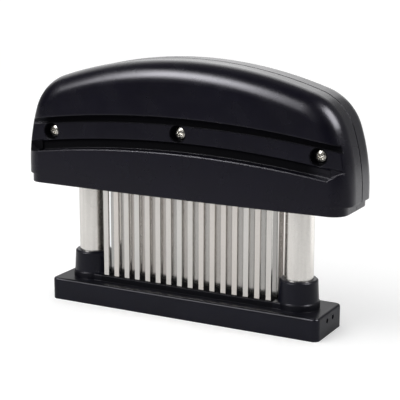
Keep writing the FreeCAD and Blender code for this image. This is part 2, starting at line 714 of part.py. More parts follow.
def elevation_curves(inset, foot):
    """Outline of the handle seen from the front, moved inwards by inset, closed at height foot.

    A long arc over the top, a shoulder arc at each end and a slower arc down to the upright
    end wall, all tangent. The shoulder's centre is where circles about the other two
    centres cross, each with its own radius less the shoulder's.
    """
    crown = number("Sizes.crown_arc_radius") - inset
    shoulder = number("Sizes.shoulder_radius") - inset
    end = number("Sizes.end_arc_radius") - inset
    half_length = number(HANDLE_HALF_LENGTH) - inset
    wall_top = number(f"{UNDERSIDE} + Sizes.end_wall_rise")
    crown_centre = (0.0, number(HANDLE_TOP) - inset - crown)
    end_centre = (half_length - end, wall_top)

    dx, dz = end_centre[0] - crown_centre[0], end_centre[1] - crown_centre[1]
    apart = math.hypot(dx, dz)
    along = ((crown - shoulder) ** 2 - (end - shoulder) ** 2 + apart ** 2) / (2 * apart)
    across = math.sqrt((crown - shoulder) ** 2 - along ** 2)
    shoulder_centre = (crown_centre[0] + (along * dx + across * dz) / apart,
                       crown_centre[1] + (along * dz - across * dx) / apart)
    high = meeting_point(crown_centre, shoulder_centre, crown)
    low = meeting_point(end_centre, shoulder_centre, end)
    wall = (half_length, wall_top)

    def between(centre, first, second, radius):
        middle = ((first[0] + second[0]) / 2, (first[1] + second[1]) / 2)
        return meeting_point(centre, middle, radius)

    def vector(point, side=1):
        return FreeCAD.Vector(side * point[0], point[1], 0)

    on_shoulder = between(shoulder_centre, high, low, shoulder)
    on_end = between(end_centre, low, wall, end)
    bottom = (half_length, foot)
    return [
        Part.LineSegment(vector(bottom, -1), vector(bottom)),
        Part.LineSegment(vector(bottom), vector(wall)),
        Part.Arc(vector(wall), vector(on_end), vector(low)),
        Part.Arc(vector(low), vector(on_shoulder), vector(high)),
        Part.Arc(vector(high), vector((0.0, crown_centre[1] + crown)), vector(high, -1)),
        Part.Arc(vector(high, -1), vector(on_shoulder, -1), vector(low, -1)),
        Part.Arc(vector(low, -1), vector(on_end, -1), vector(wall, -1)),
        Part.LineSegment(vector(wall, -1), vector(bottom, -1)),
    ]


def crown_height(x, inset=0.0):
    """Height of the long top arc at x, moved inwards by inset."""
    radius = number("Sizes.crown_arc_radius") - inset
    return number(HANDLE_TOP) - inset - radius + math.sqrt(radius ** 2 - x ** 2)


def arc_height(line, x):
    """Height at x of one of the shallow arcs that bound the grooved band."""
    radius = number(f"Sizes.{line}_radius")
    return number(f"{UNDERSIDE} + Sizes.{line}_rise") - radius + math.sqrt(radius ** 2 - x ** 2)


def bowed_outline(side, half_length, corner):
    """Plan outline of one half below the band: straight ends, round corners, bowed middle."""
    face = number(PANEL_Y)
    chord = number(f"{HANDLE_HALF_LENGTH} - Sizes.skirt_bow_inset")
    bow = number("Sizes.skirt_bow")
    points = [(-half_length, 0.0), (half_length, 0.0), (half_length, face - corner),
              (half_length - corner, face), (chord, face), (-chord, face),
              (corner - half_length, face), (-half_length, face - corner)]
    start, end, right_low, right_high, bow_right, bow_left, left_high, left_low = [
        FreeCAD.Vector(x, side * y, 0) for x, y in points]
    swell = FreeCAD.Vector(0, side * (face + bow), 0)
    dip = corner * (1 - math.sqrt(0.5))
    right_mid = FreeCAD.Vector(half_length - dip, side * (face - dip), 0)
    left_mid = FreeCAD.Vector(dip - half_length, side * (face - dip), 0)
    return [
        Part.LineSegment(start, end),
        Part.LineSegment(end, right_low),
        Part.Arc(right_low, right_mid, right_high),
        Part.LineSegment(right_high, bow_right),
        Part.Arc(bow_right, swell, bow_left),
        Part.LineSegment(bow_left, left_high),
        Part.Arc(left_high, left_mid, left_low),
        Part.LineSegment(left_low, start),
    ]


def crescent_outline(side):
    """The part of the bowed skirt that stands in front of the flat face."""
    face, bow = number(PANEL_Y), number("Sizes.skirt_bow")
    chord = number(f"{HANDLE_HALF_LENGTH} - Sizes.skirt_bow_inset")
    left, right = FreeCAD.Vector(-chord, side * face, 0), FreeCAD.Vector(chord, side * face, 0)
    return [Part.LineSegment(left, right),
            Part.Arc(right, FreeCAD.Vector(0, side * (face + bow), 0), left)]


def band_section(x):
    """Corners of the cut for the band at x, going up: its flat face, then the stripe over it.

    The stripe is a narrow groove, a step deeper than the band, with the edge of the panel
    standing over it as a lip.
    """
    panel = number(PANEL_Y)
    outside = panel + number("Sizes.skirt_bow") + CLEAR
    flat, deep = panel - number("Sizes.band_depth"), panel - number("Sizes.stripe_depth")
    foot, head, edge = [arc_height(line, x) for line in BAND_LINES[1:]]
    return [(outside, foot), (flat, foot), (flat, head), (deep, head),
            (deep, edge - number("Sizes.stripe_lip")), (panel, edge), (outside, edge)]


def groove_section(x):
    """Corners at x of the cut for the groove between the skirt and the band.

    Over the shelf on top of the skirt the back of the groove leans out a little, up to the
    lip that the band's foot makes over it. The slant under the lip runs on to the panel,
    inside the cut for the band.
    """
    panel = number(PANEL_Y)
    outside = panel + number("Sizes.skirt_bow") + CLEAR
    flat, deep = number("Sizes.band_depth"), number("Sizes.groove_depth")
    lip = number("Sizes.groove_lip")
    shelf, foot = arc_height("skirt_line", x), arc_height("band_foot", x)
    run_on = foot + lip * flat / (deep - flat)
    return [(outside, shelf), (panel - number("Sizes.groove_shelf"), shelf),
            (panel - deep, foot - lip), (panel, run_on), (outside, run_on)]


def backing_section(x):
    """Corners at x of the thicker wall behind the band, from the middle of the wall inwards."""
    middle = number(f"{PANEL_Y} - Sizes.face_wall / 2")
    backing = number("Sizes.groove_backing")
    inner = number(f"{PANEL_Y} - Sizes.groove_depth") - backing
    shelf, edge = arc_height("skirt_line", x), arc_height("panel_edge", x)
    return [(middle, shelf - backing), (inner, shelf - backing), (inner, edge),
            (middle, edge + backing)]


def add_groove_ends(body, side, half_length):
    """Wedges that close the groove: past each end its shelf climbs to the foot of the band."""
    level = number(f"{PANEL_Y} - Sizes.groove_end_depth")
    wedges = new_sketch(body, "GrooveEnds", "XZ_Plane", f"{-side} * {level}")
    near_x = half_length - CLEAR
    far_x = half_length + number("Sizes.groove_run_out")
    over = number("Sizes.groove_lip") / 2
    for end in (LEFT, RIGHT):
        corners = [(near_x, arc_height("skirt_line", near_x)), (far_x, arc_height("band_foot", far_x)),
                   (far_x, arc_height("band_foot", far_x) + over),
                   (near_x, arc_height("band_foot", near_x) + over)]
        points = [FreeCAD.Vector(end * x, z, 0) for x, z in corners]
        add_curves(wedges, [Part.LineSegment(first, second)
                            for first, second in zip(points, points[1:] + points[:1])])
    add_pocket(body, "GrooveEndPair", wedges, PANEL_Y, reverse=side == FRONT)


def add_band_loft(body, kind, name, side, half_length, section):
    """Loft a section of the grooved band from end to end, cut or added as kind says."""
    stations = round(number("Sizes.band_stations"))
    sketches = []
    for index in range(stations):
        x = half_length * (2 * index / (stations - 1) - 1)
        sketch = new_sketch(body, f"{name}Section{index + 1}", "YZ_Plane", str(x))
        points = [FreeCAD.Vector(side * y, z, 0) for y, z in section(x)]
        add_curves(sketch, [Part.LineSegment(start, end)
                            for start, end in zip(points, points[1:] + points[:1])])
        sketches.append(sketch)
    loft = body.newObject(kind, name)
    loft.Profile = sketches[0]
    loft.Sections = sketches[1:]
    loft.Ruled = False
    doc.recompute()
    return loft


def case_screw_places():
    """Places of the three screws, seen from the front, as pairs of expressions."""
    end = f"({UNDERSIDE} + Sizes.case_screw_end_rise)"
    middle = f"({UNDERSIDE} + Sizes.case_screw_middle_rise)"
    return {"left": (f"-{CASE_SCREW_X}", end), "middle": ("0", middle), "right": (CASE_SCREW_X, end)}


def handle_shell(label, side):
    """Half of the handle: crowned outside, hollow inside, with bosses, sleeves and ribs.

    On the XZ plane a sketch's normal points to the front, so features of the rear shell
    are reversed.
    """
    body = new_body(label)
    rear = side == REAR
    face = number(PANEL_Y)
    lip_top = number(LIP_TOP)

    form = new_sketch(body, "FrontElevation", "XZ_Plane")
    add_curves(form, elevation_curves(0.0, lip_top))
    add_pad(body, "Form", form, PANEL_Y, reverse=rear)
    fillet_edges(body, "Crown", "Sizes.crown_fillet",
                 lambda edge: near(side * edge.CenterOfMass.y, face) and rises_above(edge, lip_top))
    chamfer_edges(body, "Seam", "Sizes.seam_chamfer",
                  lambda edge: near(edge.BoundBox.YLength, 0) and near(edge.CenterOfMass.y, 0)
                  and rises_above(edge, lip_top))

    skirt = new_sketch(body, "SkirtBow", "XY_Plane", LIP_TOP)
    add_curves(skirt, crescent_outline(side))
    add_pad(body, "Skirt", skirt, "Sizes.skirt_line_rise - Sizes.lip_height + Sizes.band_depth")

    lip = new_sketch(body, "LipOutline", "XY_Plane", UNDERSIDE)
    add_curves(lip, bowed_outline(side, number(f"{HANDLE_HALF_LENGTH} - Sizes.lip_end_inset"),
                                  number("Sizes.lip_corner_radius")))
    add_pad(body, "Lip", lip, "Sizes.lip_height")

    hollow = new_sketch(body, "Hollow", "XZ_Plane")
    add_curves(hollow, elevation_curves(number("Sizes.shell_wall"), number(FLOOR_TOP)))
    boss_radius = "Sizes.case_screw_recess_diameter / 2 + Sizes.case_screw_boss_wall"
    for x, z in case_screw_places().values():
        add_circle(hollow, boss_radius, x, z)
    add_pocket(body, "HollowCut", hollow, f"{PANEL_Y} - Sizes.face_wall", reverse=not rear)

    inner_half = number(f"{HANDLE_HALF_LENGTH} - Sizes.shell_wall - Sizes.face_wall")
    add_band_loft(body, "PartDesign::AdditiveLoft", "Backing", side, inner_half, backing_section)
    outer_half = number(HANDLE_HALF_LENGTH) + CLEAR
    add_band_loft(body, "PartDesign::SubtractiveLoft", "Band", side, outer_half, band_section)
    groove_half = number(f"{HANDLE_HALF_LENGTH} - Sizes.groove_end_inset")
    add_band_loft(body, "PartDesign::SubtractiveLoft", "Groove", side, groove_half, groove_section)
    add_groove_ends(body, side, groove_half)

    add_shell_floor(body, side)
    add_shell_ribs(body, side)
    if rear:
        pilots = new_sketch(body, "PilotHoles", "XZ_Plane")
        for x, z in case_screw_places().values():
            add_circle(pilots, "Sizes.case_screw_diameter / 2 + Sizes.press_gap", x, z)
        add_pocket(body, "PilotHolesCut", pilots,
                   f"Sizes.case_screw_length - {CASE_SCREW_SEAT} + Sizes.case_screw_diameter / 2")
        return body
    holes = new_sketch(body, "ScrewHoles", "XZ_Plane")
    recesses = new_sketch(body, "ScrewRecesses", "XZ_Plane", CASE_SCREW_SEAT)
    for x, z in case_screw_places().values():
        add_circle(holes, "Sizes.case_screw_diameter / 2 + Sizes.screw_hole_gap", x, z)
        add_circle(recesses, "Sizes.case_screw_recess_diameter / 2", x, z)
    add_pocket(body, "ScrewHolesCut", holes, PANEL_Y, reverse=True)
    add_pocket(body, "ScrewRecessesCut", recesses, PANEL_Y, reverse=True)
    return body


def add_shell_floor(body, side):
    """Half of the blade window, and half of each sleeve that slides on a post."""
    window = new_sketch(body, "Window", "XY_Plane", FLOOR_TOP)
    half_length = f"({CARRIER_HALF_LENGTH} - Sizes.carrier_shoulder / 2 + Sizes.blade_fit)"
    half_width = f"({CARRIER_HALF_WIDTH} - Sizes.carrier_shoulder + Sizes.blade_fit)"
    add_rectangle(window, f"-{half_length}", half_length, "0", f"{side} * {half_width}")
    add_pocket(body, "WindowCut", window, "Sizes.floor_thickness")

    sleeves = new_sketch(body, "Sleeves", "XY_Plane", FLOOR_TOP)
    bores = new_sketch(body, "SleeveBores", "XY_Plane", SLEEVE_TOP)
    radius = number(SLEEVE_RADIUS)
    for end in (LEFT, RIGHT):
        centre = end * number(POST_X)
        start, finish = (FreeCAD.Vector(centre + sign * radius, 0, 0) for sign in (-1, 1))
        middle = FreeCAD.Vector(centre, side * radius, 0)
        add_curves(sleeves, [Part.LineSegment(start, finish), Part.Arc(finish, middle, start)])
        add_circle(bores, SLEEVE_BORE_RADIUS, f"{end} * {POST_X}")
    add_pad(body, "SleevePair", sleeves, "Sizes.sleeve_height")
    add_pocket(body, "SleeveBorePair", bores, f"{SLEEVE_TOP} - {UNDERSIDE}")


def add_shell_ribs(body, side):
    """Ribs that hold the clamp plate down, and pads that take the push of the spring pegs."""
    ribs = new_sketch(body, "Ribs", "XZ_Plane", f"{-side} * Sizes.rib_setback")
    pads = new_sketch(body, "PegPads", "XZ_Plane")
    spigots = new_sketch(body, "PegSpigots", "XY_Plane", PEG_SEAT)
    half_pad = f"({PEG_SPIGOT_RADIUS} + Sizes.peg_pad_wall)"
    inner_end, outer_end = number(f"{POST_X} - {half_pad}"), number(f"{POST_X} + {half_pad}")
    pad_top = (crown_height(inner_end, number("Sizes.shell_wall")) + crown_height(outer_end)) / 2
    for end in (LEFT, RIGHT):
        rib = f"{end} * Sizes.rib_spacing / 2"
        add_rectangle(ribs, f"{rib} - Sizes.rib_thickness / 2", f"{rib} + Sizes.rib_thickness / 2",
                      CLAMP_TOP, f"{CLAMP_TOP} + Sizes.rib_height")
        peg = f"{end} * {POST_X}"
        add_rectangle(pads, f"{peg} - {half_pad}", f"{peg} + {half_pad}", PEG_SEAT, f"{pad_top}")
        add_circle(spigots, f"{PEG_SPIGOT_RADIUS} + Sizes.press_gap", peg)
    add_pad(body, "RibPair", ribs, f"{PANEL_Y} - Sizes.face_wall - Sizes.rib_setback",
            reverse=side == REAR)
    add_pad(body, "PegPadPair", pads, "Sizes.peg_pad_depth", reverse=side == REAR)
    add_pocket(body, "PegSpigotPair", spigots, "Sizes.peg_spigot_height + Sizes.screw_hole_gap",
               reverse=True)


def case_screw(label, x, z):
    """Flat-topped screw through the front shell into the rear one.

    It is turned about its own Z axis, which then points to the front, with the split
    plane at zero.
    """
    body = new_body(label)
    section = new_sketch(body, "ScrewSection", "XZ_Plane")
    head, shank = "(Sizes.case_screw_head_diameter / 2)", "(Sizes.case_screw_diameter / 2)"
    head_top = f"({CASE_SCREW_SEAT} + Sizes.case_screw_head_height)"
    tip = f"({CASE_SCREW_SEAT} - Sizes.case_screw_length)"
    add_polygon(section, [
        ("0", tip),
        (shank, tip),
        (shank, CASE_SCREW_SEAT),
        (head, CASE_SCREW_SEAT),
        (head, head_top),
        ("0", head_top),
    ])
    add_revolution(body, "Screw", section)
    cross_recess(body, head_top, reverse=False)
    body.Placement = FreeCAD.Placement(FreeCAD.Vector(), FreeCAD.Rotation(FreeCAD.Vector(1, 0, 0), 90))
    place(body, x, "0", z)
    return body


def check_document():
    """Stop with the names of objects that failed to compute."""
    broken = [item.Name for item in doc.Objects if {"Invalid", "Error"} & set(item.State)]
    if broken:
        raise RuntimeError(f"failed objects: {broken}")


def export(nodes):
    os.makedirs("parts", exist_ok=True)
    for node in nodes:
        if node.Shape.isNull() or not node.Shape.isValid():
            raise RuntimeError(f"bad shape: {node.Label}")
    for node in nodes:
        node.Shape.exportStep(f"parts/{node.Label}.step")
        print(f"{node.Label}: {len(node.Shape.Solids)} solids, {node.Shape.Volume:.0f} mm3")


nodes = [base_plate(), base_rod("base_rod_front", FRONT), base_rod("base_rod_rear", REAR)]
for suffix, side in (("left", LEFT), ("right", RIGHT)):
    nodes.append(post(f"post_{suffix}", side))
    nodes.append(post_plug(f"post_plug_{suffix}", side))
    nodes.append(post_screw(f"post_screw_{suffix}", side))
    nodes.append(post_clip(f"post_clip_{suffix}", side))
    nodes.append(spring(f"spring_{suffix}", side))
    nodes.append(spring_peg(f"spring_peg_{suffix}", side))
for suffix, row in BLADE_ROWS.items():
    nodes.append(blade_row(f"blade_row_{suffix}", row))
nodes += [blade_carrier(), blade_clamp_plate()]
nodes += [handle_shell("handle_front_shell", FRONT), handle_shell("handle_rear_shell", REAR)]
for suffix, (x, z) in case_screw_places().items():
    nodes.append(case_screw(f"case_screw_{suffix}", x, z))
doc.recompute()
check_document()
export(nodes)
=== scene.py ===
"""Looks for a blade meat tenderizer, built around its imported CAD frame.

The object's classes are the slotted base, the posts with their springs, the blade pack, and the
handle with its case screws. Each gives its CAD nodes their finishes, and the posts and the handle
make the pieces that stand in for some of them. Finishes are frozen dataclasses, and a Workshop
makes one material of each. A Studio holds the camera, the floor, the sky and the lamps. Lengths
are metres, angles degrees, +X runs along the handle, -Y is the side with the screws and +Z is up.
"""

import json
import logging
import math
from dataclasses import dataclass, field
from enum import Enum
from typing import Any, Dict, List, Optional, Tuple

import bpy
import numpy as np
from mathutils import Matrix, Vector


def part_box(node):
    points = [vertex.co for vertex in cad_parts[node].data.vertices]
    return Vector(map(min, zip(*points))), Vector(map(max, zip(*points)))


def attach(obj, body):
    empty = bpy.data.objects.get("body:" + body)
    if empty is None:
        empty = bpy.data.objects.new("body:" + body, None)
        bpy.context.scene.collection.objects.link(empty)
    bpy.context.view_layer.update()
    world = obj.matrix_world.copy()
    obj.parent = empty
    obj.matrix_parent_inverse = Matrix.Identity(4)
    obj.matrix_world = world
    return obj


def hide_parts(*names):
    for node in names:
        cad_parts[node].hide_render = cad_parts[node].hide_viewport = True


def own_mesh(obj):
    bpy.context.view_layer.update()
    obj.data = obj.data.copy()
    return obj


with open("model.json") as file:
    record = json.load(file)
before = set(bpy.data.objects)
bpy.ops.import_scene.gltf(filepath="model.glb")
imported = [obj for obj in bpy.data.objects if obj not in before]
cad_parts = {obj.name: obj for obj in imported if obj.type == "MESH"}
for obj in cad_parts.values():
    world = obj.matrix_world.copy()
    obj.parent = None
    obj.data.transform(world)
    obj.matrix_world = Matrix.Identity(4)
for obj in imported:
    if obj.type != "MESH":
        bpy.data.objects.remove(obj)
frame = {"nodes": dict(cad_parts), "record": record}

LOG = logging.getLogger("tenderizer")
MM = 0.001

Colour = Tuple[float, float, float]
Operand = Any


def box_of(node: str) -> Tuple[np.ndarray, np.ndarray, np.ndarray]:
    """The box of a CAD node.

    Args:
        node: The node's name.

    Returns:
        Its lowest corner, its highest corner and the middle between them.
    """
    low, high = (np.array(corner, dtype=float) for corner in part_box(node))
    return low, high, (low + high) / 2


# ---------------------------------------------------------------- shader maths


class Field:
    """A socket of a shader that takes part in Python arithmetic.

    Adding, subtracting, multiplying, dividing, comparing or raising a Field adds a Math node
    to its material and gives the Field of that node's result.
    """

    def __init__(self, shader: "Shader", socket: bpy.types.NodeSocket) -> None:
        """Keep the socket and the shader that owns it."""
        self.shader = shader
        self.socket = socket

    def _math(self, operation: str, first: Operand, second: Operand = None) -> "Field":
        """Add a Math node.

        Args:
            operation: The node's operation, such as ADD.
            first: Its first operand.
            second: Its second operand, or None where the operation takes one.

        Returns:
            The node's result.
        """
        inputs = {0: first} if second is None else {0: first, 1: second}
        return self.shader.add("ShaderNodeMath", {"operation": operation}, inputs)

    def __add__(self, other: Operand) -> "Field":
        """Sum."""
        return self._math("ADD", self, other)

    def __radd__(self, other: Operand) -> "Field":
        """Sum with a number on the left."""
        return self._math("ADD", other, self)

    def __sub__(self, other: Operand) -> "Field":
        """Difference."""
        return self._math("SUBTRACT", self, other)

    def __rsub__(self, other: Operand) -> "Field":
        """Difference from a number."""
        return self._math("SUBTRACT", other, self)

    def __mul__(self, other: Operand) -> "Field":
        """Product."""
        return self._math("MULTIPLY", self, other)

    def __rmul__(self, other: Operand) -> "Field":
        """Product with a number on the left."""
        return self._math("MULTIPLY", other, self)

    def __truediv__(self, other: Operand) -> "Field":
        """Quotient."""
        return self._math("DIVIDE", self, other)

    def __pow__(self, other: Operand) -> "Field":
        """Power."""
        return self._math("POWER", self, other)

    def above(self, limit: Operand) -> "Field":
        """One where the value is greater than limit, else zero."""
        return self._math("GREATER_THAN", self, limit)

    def floor(self) -> "Field":
        """Value rounded down."""
        return self._math("FLOOR", self)

    def sine(self) -> "Field":
        """Sine of the value in radians."""
        return self._math("SINE", self)

    def fraction(self) -> "Field":
        """What is left above the whole number."""
        return self._math("FRACT", self)

    def greatest(self, other: Operand) -> "Field":
        """The greater of two values, which is one where either of two flags is."""
        return self._math("MAXIMUM", self, other)

    def size(self) -> "Field":
        """Value without its sign, which is the root of its square."""
        return (self * self) ** 0.5

    def ramp(self, low: float, high: float, start: float = 0.0, end: float = 1.0) -> "Field":
        """Smooth step from one value to another.

        Args:
            low: Value up to which the result is start.
            high: Value from which the result is end.
            start: Result up to low.
            end: Result from high.

        Returns:
            The result.
        """
        settings = {"interpolation_type": "SMOOTHSTEP"}
        inputs = {"Value": self, "From Min": low, "From Max": high, "To Min": start, "To Max": end}
        return self.shader.add("ShaderNodeMapRange", settings, inputs)


class Shader:
    """The node tree of one material, or of the world."""

    def __init__(self, tree: bpy.types.NodeTree) -> None:
        """Empty the tree and keep it."""
        self.tree = tree
        tree.nodes.clear()

    def add(self, kind: str, settings: Optional[Dict[str, Any]] = None,
            inputs: Optional[Dict[Any, Operand]] = None, output: Any = 0) -> Field:
        """Add one node.

        Args:
            kind: The node's type name.
            settings: Properties of the node, which are set first.
            inputs: Values or Fields for its sockets, by name or index.
            output: Name or index of the output that is wanted.

        Returns:
            The Field of that output.
        """
        node = self.tree.nodes.new(kind)
        for name, value in (settings or {}).items():
            setattr(node, name, value)
        for name, value in (inputs or {}).items():
            self._feed(self._input(node, name), value)
        return Field(self, node.outputs[output])

    @staticmethod
    def _input(node: bpy.types.Node, name: Any) -> bpy.types.NodeSocket:
        """Find an input of a node, passing over those of its name that are switched off.

        Args:
            node: The node.
            name: The input's name or index.

        Returns:
            The input.
        """
        if isinstance(name, int):
            return node.inputs[name]
        return next(socket for socket in node.inputs if socket.name == name and socket.enabled)

    def _feed(self, socket: bpy.types.NodeSocket, value: Operand) -> None:
        """Link a Field to a socket, or set the socket's own value.

        Args:
            socket: The socket, an input of a node.
            value: The Field, number, vector or colour.
        """
        if isinstance(value, Field):
            self.tree.links.new(value.socket, socket)
        elif isinstance(value, tuple) and len(value) == 3 and socket.type == "RGBA":
            socket.default_value = (*value, 1.0)
        else:
            socket.default_value = value

    def position(self) -> Field:
        """Object coordinates, which are metres from the object's origin."""
        return self.add("ShaderNodeTexCoord", output="Object")

    def axes(self, vector: Field) -> Tuple[Field, Field, Field]:
        """The three parts of a vector."""
        x, y, z = (self.add("ShaderNodeSeparateXYZ", {}, {0: vector}, output=axis) for axis in "XYZ")
        return x, y, z

    def grey(self, value: Operand) -> Field:
        """A colour whose three parts are the same value."""
        return self.add("ShaderNodeCombineXYZ", {}, {0: value, 1: value, 2: value})

    def noise(self, vector: Field, scale: float, detail: float = 2.0, roughness: float = 0.5) -> Field:
        """Perlin noise between about 0 and 1."""
        inputs = {"Vector": vector, "Scale": scale, "Detail": detail, "Roughness": roughness}
        return self.add("ShaderNodeTexNoise", {}, inputs)

    def stretched(self, vector: Field, scale: Tuple[float, float, float]) -> Field:
        """The vector with each of its parts scaled."""
        return self.add("ShaderNodeMapping", {}, {"Vector": vector, "Scale": scale})

    def mix(self, factor: Operand, first: Operand, second: Operand) -> Field:
        """Blend of two colours."""
        inputs = {"Factor": factor, "A": first, "B": second}
        return self.add("ShaderNodeMix", {"data_type": "RGBA"}, inputs, output=2)

    def bump(self, height: Field, distance: float, normal: Field) -> Field:
        """Normal of a surface raised by height times distance over another normal."""
        return self.add("ShaderNodeBump", {}, {"Height": height, "Distance": distance, "Normal": normal})

    def rounded(self, radius: float) -> Field:
        """Normal of the surface with its edges rounded to radius."""
        return self.add("ShaderNodeBevel", {"samples": 6}, {"Radius": radius})

    def principled(self, inputs: Dict[str, Operand]) -> Field:
        """A Principled surface that has the given inputs."""
        return self.add("ShaderNodeBsdfPrincipled", {}, inputs)

    def close(self, surface: Field, kind: str = "ShaderNodeOutputMaterial") -> None:
        """Link a surface to a new output node of the given type."""
        self.tree.links.new(surface.socket, self.tree.nodes.new(kind).inputs["Surface"])


@dataclass(frozen=True)
class Step:
    """A smooth step that is kept as a value: from start to end, as a field goes from low to high."""

    low: float
    high: float
    start: float = 0.0
    end: float = 1.0

    def of(self, value: Field) -> Field:
        """The step of a field."""
        return value.ramp(self.low, self.high, self.start, self.end)


# Between these lie most of a noise's values.
MOST_NOISE = Step(0.3, 0.7)


def scaled(colour: Colour, share: float) -> Colour:
    """A colour with each of its parts times a share."""
    red, green, blue = colour
    return red * share, green * share, blue * share


# ---------------------------------------------------------------- finishes


@dataclass(frozen=True)
class Finish:
    """A finish, which makes one material of its name."""

    name: str
    colour: Colour
    roughness: float

    def build(self) -> bpy.types.Material:
        """Make the material from the finish's surface.

        Returns:
            The material.
        """
        material = bpy.data.materials.new(self.name)
        material.use_nodes = True
        shader = Shader(material.node_tree)
        shader.close(self.surface(shader))
        LOG.info("made the finish %s", self.name)
        return material

    def surface(self, shader: Shader) -> Field:
        """The finish's surface, added to a shader."""
        raise NotImplementedError

    def gloss(self, noise: Field, smoother: float, rougher: float) -> Field:
        """Roughness that goes with a noise, from a little under the finish's own to a little over."""
        low, high = self.roughness - smoother, self.roughness + rougher
        return noise.ramp(MOST_NOISE.low, MOST_NOISE.high, low, high)


@dataclass(frozen=True)
class MouldedPlastic(Finish):
    """Black moulded plastic: a fine etched grain, faint flow marks and softly broken edges."""

    grain: float = 0.25 * MM
    grain_depth: float = 0.0025 * MM
    edge_radius: float = 0.6 * MM
    specular: float = 0.32
    tint: Colour = (0.95, 0.935, 1.0)
    flow_scale: float = 38.0
    flow_stretch: Tuple[float, float, float] = (1.0, 3.0, 2.2)
    flow_step: Step = Step(0.35, 0.65)
    flow_light: float = 1.25
    cloud_scale: float = 120.0

    def surface(self, shader: Shader) -> Field:
        """The plastic's surface.

        One noise tints the colour and another the gloss. The grain is a third noise of the
        given size, raised by grain_depth on top of the rounded edges.

        Args:
            shader: The material's shader.

        Returns:
            The surface.
        """
        place = shader.position()
        flow = shader.noise(shader.stretched(place, self.flow_stretch), self.flow_scale, detail=3.0)
        cloud = shader.noise(place, self.cloud_scale)
        grain = shader.noise(place, 1.0 / self.grain, detail=3.0, roughness=0.6)
        lighter = scaled(self.colour, self.flow_light)
        return shader.principled({
            "Base Color": shader.mix(self.flow_step.of(flow), self.colour, lighter),
            "Roughness": self.gloss(cloud, smoother=0.015, rougher=0.02),
            "Specular IOR Level": self.specular,
            "Specular Tint": self.tint,
            "Normal": shader.bump(grain, self.grain_depth, shader.rounded(self.edge_radius)),
        })


@dataclass(frozen=True)
class Arc:
    """A shallow arc over the length of a piece, highest at X = 0, or by default a level line."""

    height: float
    radius: float = 1000.0

    def at(self, x: Field) -> Field:
        """The arc's height at x: its greatest height less x squared over twice its radius."""
        return self.height - x * x / (2 * self.radius)


class ShadeZone:
    """Part of a plastic piece that is made matt and dark: painted shade, standing for the shade that
    falls there.
    """

    def cover(self, shader: Shader, soft: float) -> Field:
        """The zone's share inside it and zero outside, over steps of twice soft."""
        raise NotImplementedError


@dataclass(frozen=True)
class MattShadeZone(ShadeZone):
    """A zone between two arcs, from one distance to another on either side of Y = 0.

    It runs from left to right along X, and both of its ends fade out over twice `fade`.
    """

    low: Arc
    high: Arc
    near: float = -1.0
    far: float = 1.0
    left: float = -1.0
    right: float = 1.0
    share: float = 1.0
    fade: float = 0.5 * MM

    def cover(self, shader: Shader, soft: float) -> Field:
        """The zone's share inside it and zero outside: the product of a step at each limit.

        Args:
            shader: The material's shader.
            soft: Half the width of the step at each arc.

        Returns:
            The cover.
        """
        x, y, z = shader.axes(shader.position())
        reach = y.size()
        start = x.ramp(self.left - self.fade, self.left + self.fade)
        end = x.ramp(self.right - self.fade, self.right + self.fade, self.share, 0.0)
        depth = reach.above(self.near) * (1.0 - reach.above(self.far))
        over = (z - self.low.at(x)).ramp(-soft, soft)
        under = 1.0 - (z - self.high.at(x)).ramp(-soft, soft)
        return depth * (start * end) * over * under


@dataclass(frozen=True)
class MattShadeSeat(ShadeZone):
    """The round seat of a case screw, as far as it lies more than `depth` in front of Y = 0."""

    screw: str
    radius: float = 3.8 * MM
    depth: float = 7.0 * MM
    share: float = 0.9

    def cover(self, shader: Shader, soft: float) -> Field:
        """The seat's share within its radius of the screw's axis on the front side, else zero.

        Args:
            shader: The material's shader.
            soft: Half the width of the step at the radius.

        Returns:
            The cover.
        """
        x, y, z = shader.axes(shader.position())
        middle_x, _, middle_z = (float(part) for part in box_of(self.screw)[2])
        reach = ((x - middle_x) ** 2.0 + (z - middle_z) ** 2.0) ** 0.5
        inside = reach.ramp(self.radius - soft, self.radius + soft, self.share, 0.0)
        return (0.0 - y).above(self.depth) * inside


@dataclass(frozen=True)
class PaintedShadePlastic(MouldedPlastic):
    """Moulded plastic with painted shade: zones, such as grooves, that are made matt and dark to stand
    for the shade in them.
    """

    zones: Tuple[ShadeZone, ...] = ()
    soft: float = 0.3 * MM
    painted_shade_colour: Colour = (0.0025, 0.0024, 0.0040)
    matt_roughness: float = 0.8
    matt_specular: float = 0.03

    def surface(self, shader: Shader) -> Field:
        """The plastic's surface, blended by the greatest cover of its zones to a matt dark one that
        paints their shade.

        Args:
            shader: The material's shader.

        Returns:
            The surface.
        """
        inside: Operand = 0.0
        for zone in self.zones:
            inside = zone.cover(shader, self.soft).greatest(inside)
        # Painted shade: where the zones cover, a dark matt surface without reflection takes the plastic's
        # place.
        painted_shade_surface = shader.principled({"Base Color": self.painted_shade_colour, "Roughness": self.matt_roughness,
                                  "Specular IOR Level": self.matt_specular})
        plain = super().surface(shader)
        return shader.add("ShaderNodeMixShader", {}, {0: inside, 1: plain, 2: painted_shade_surface})


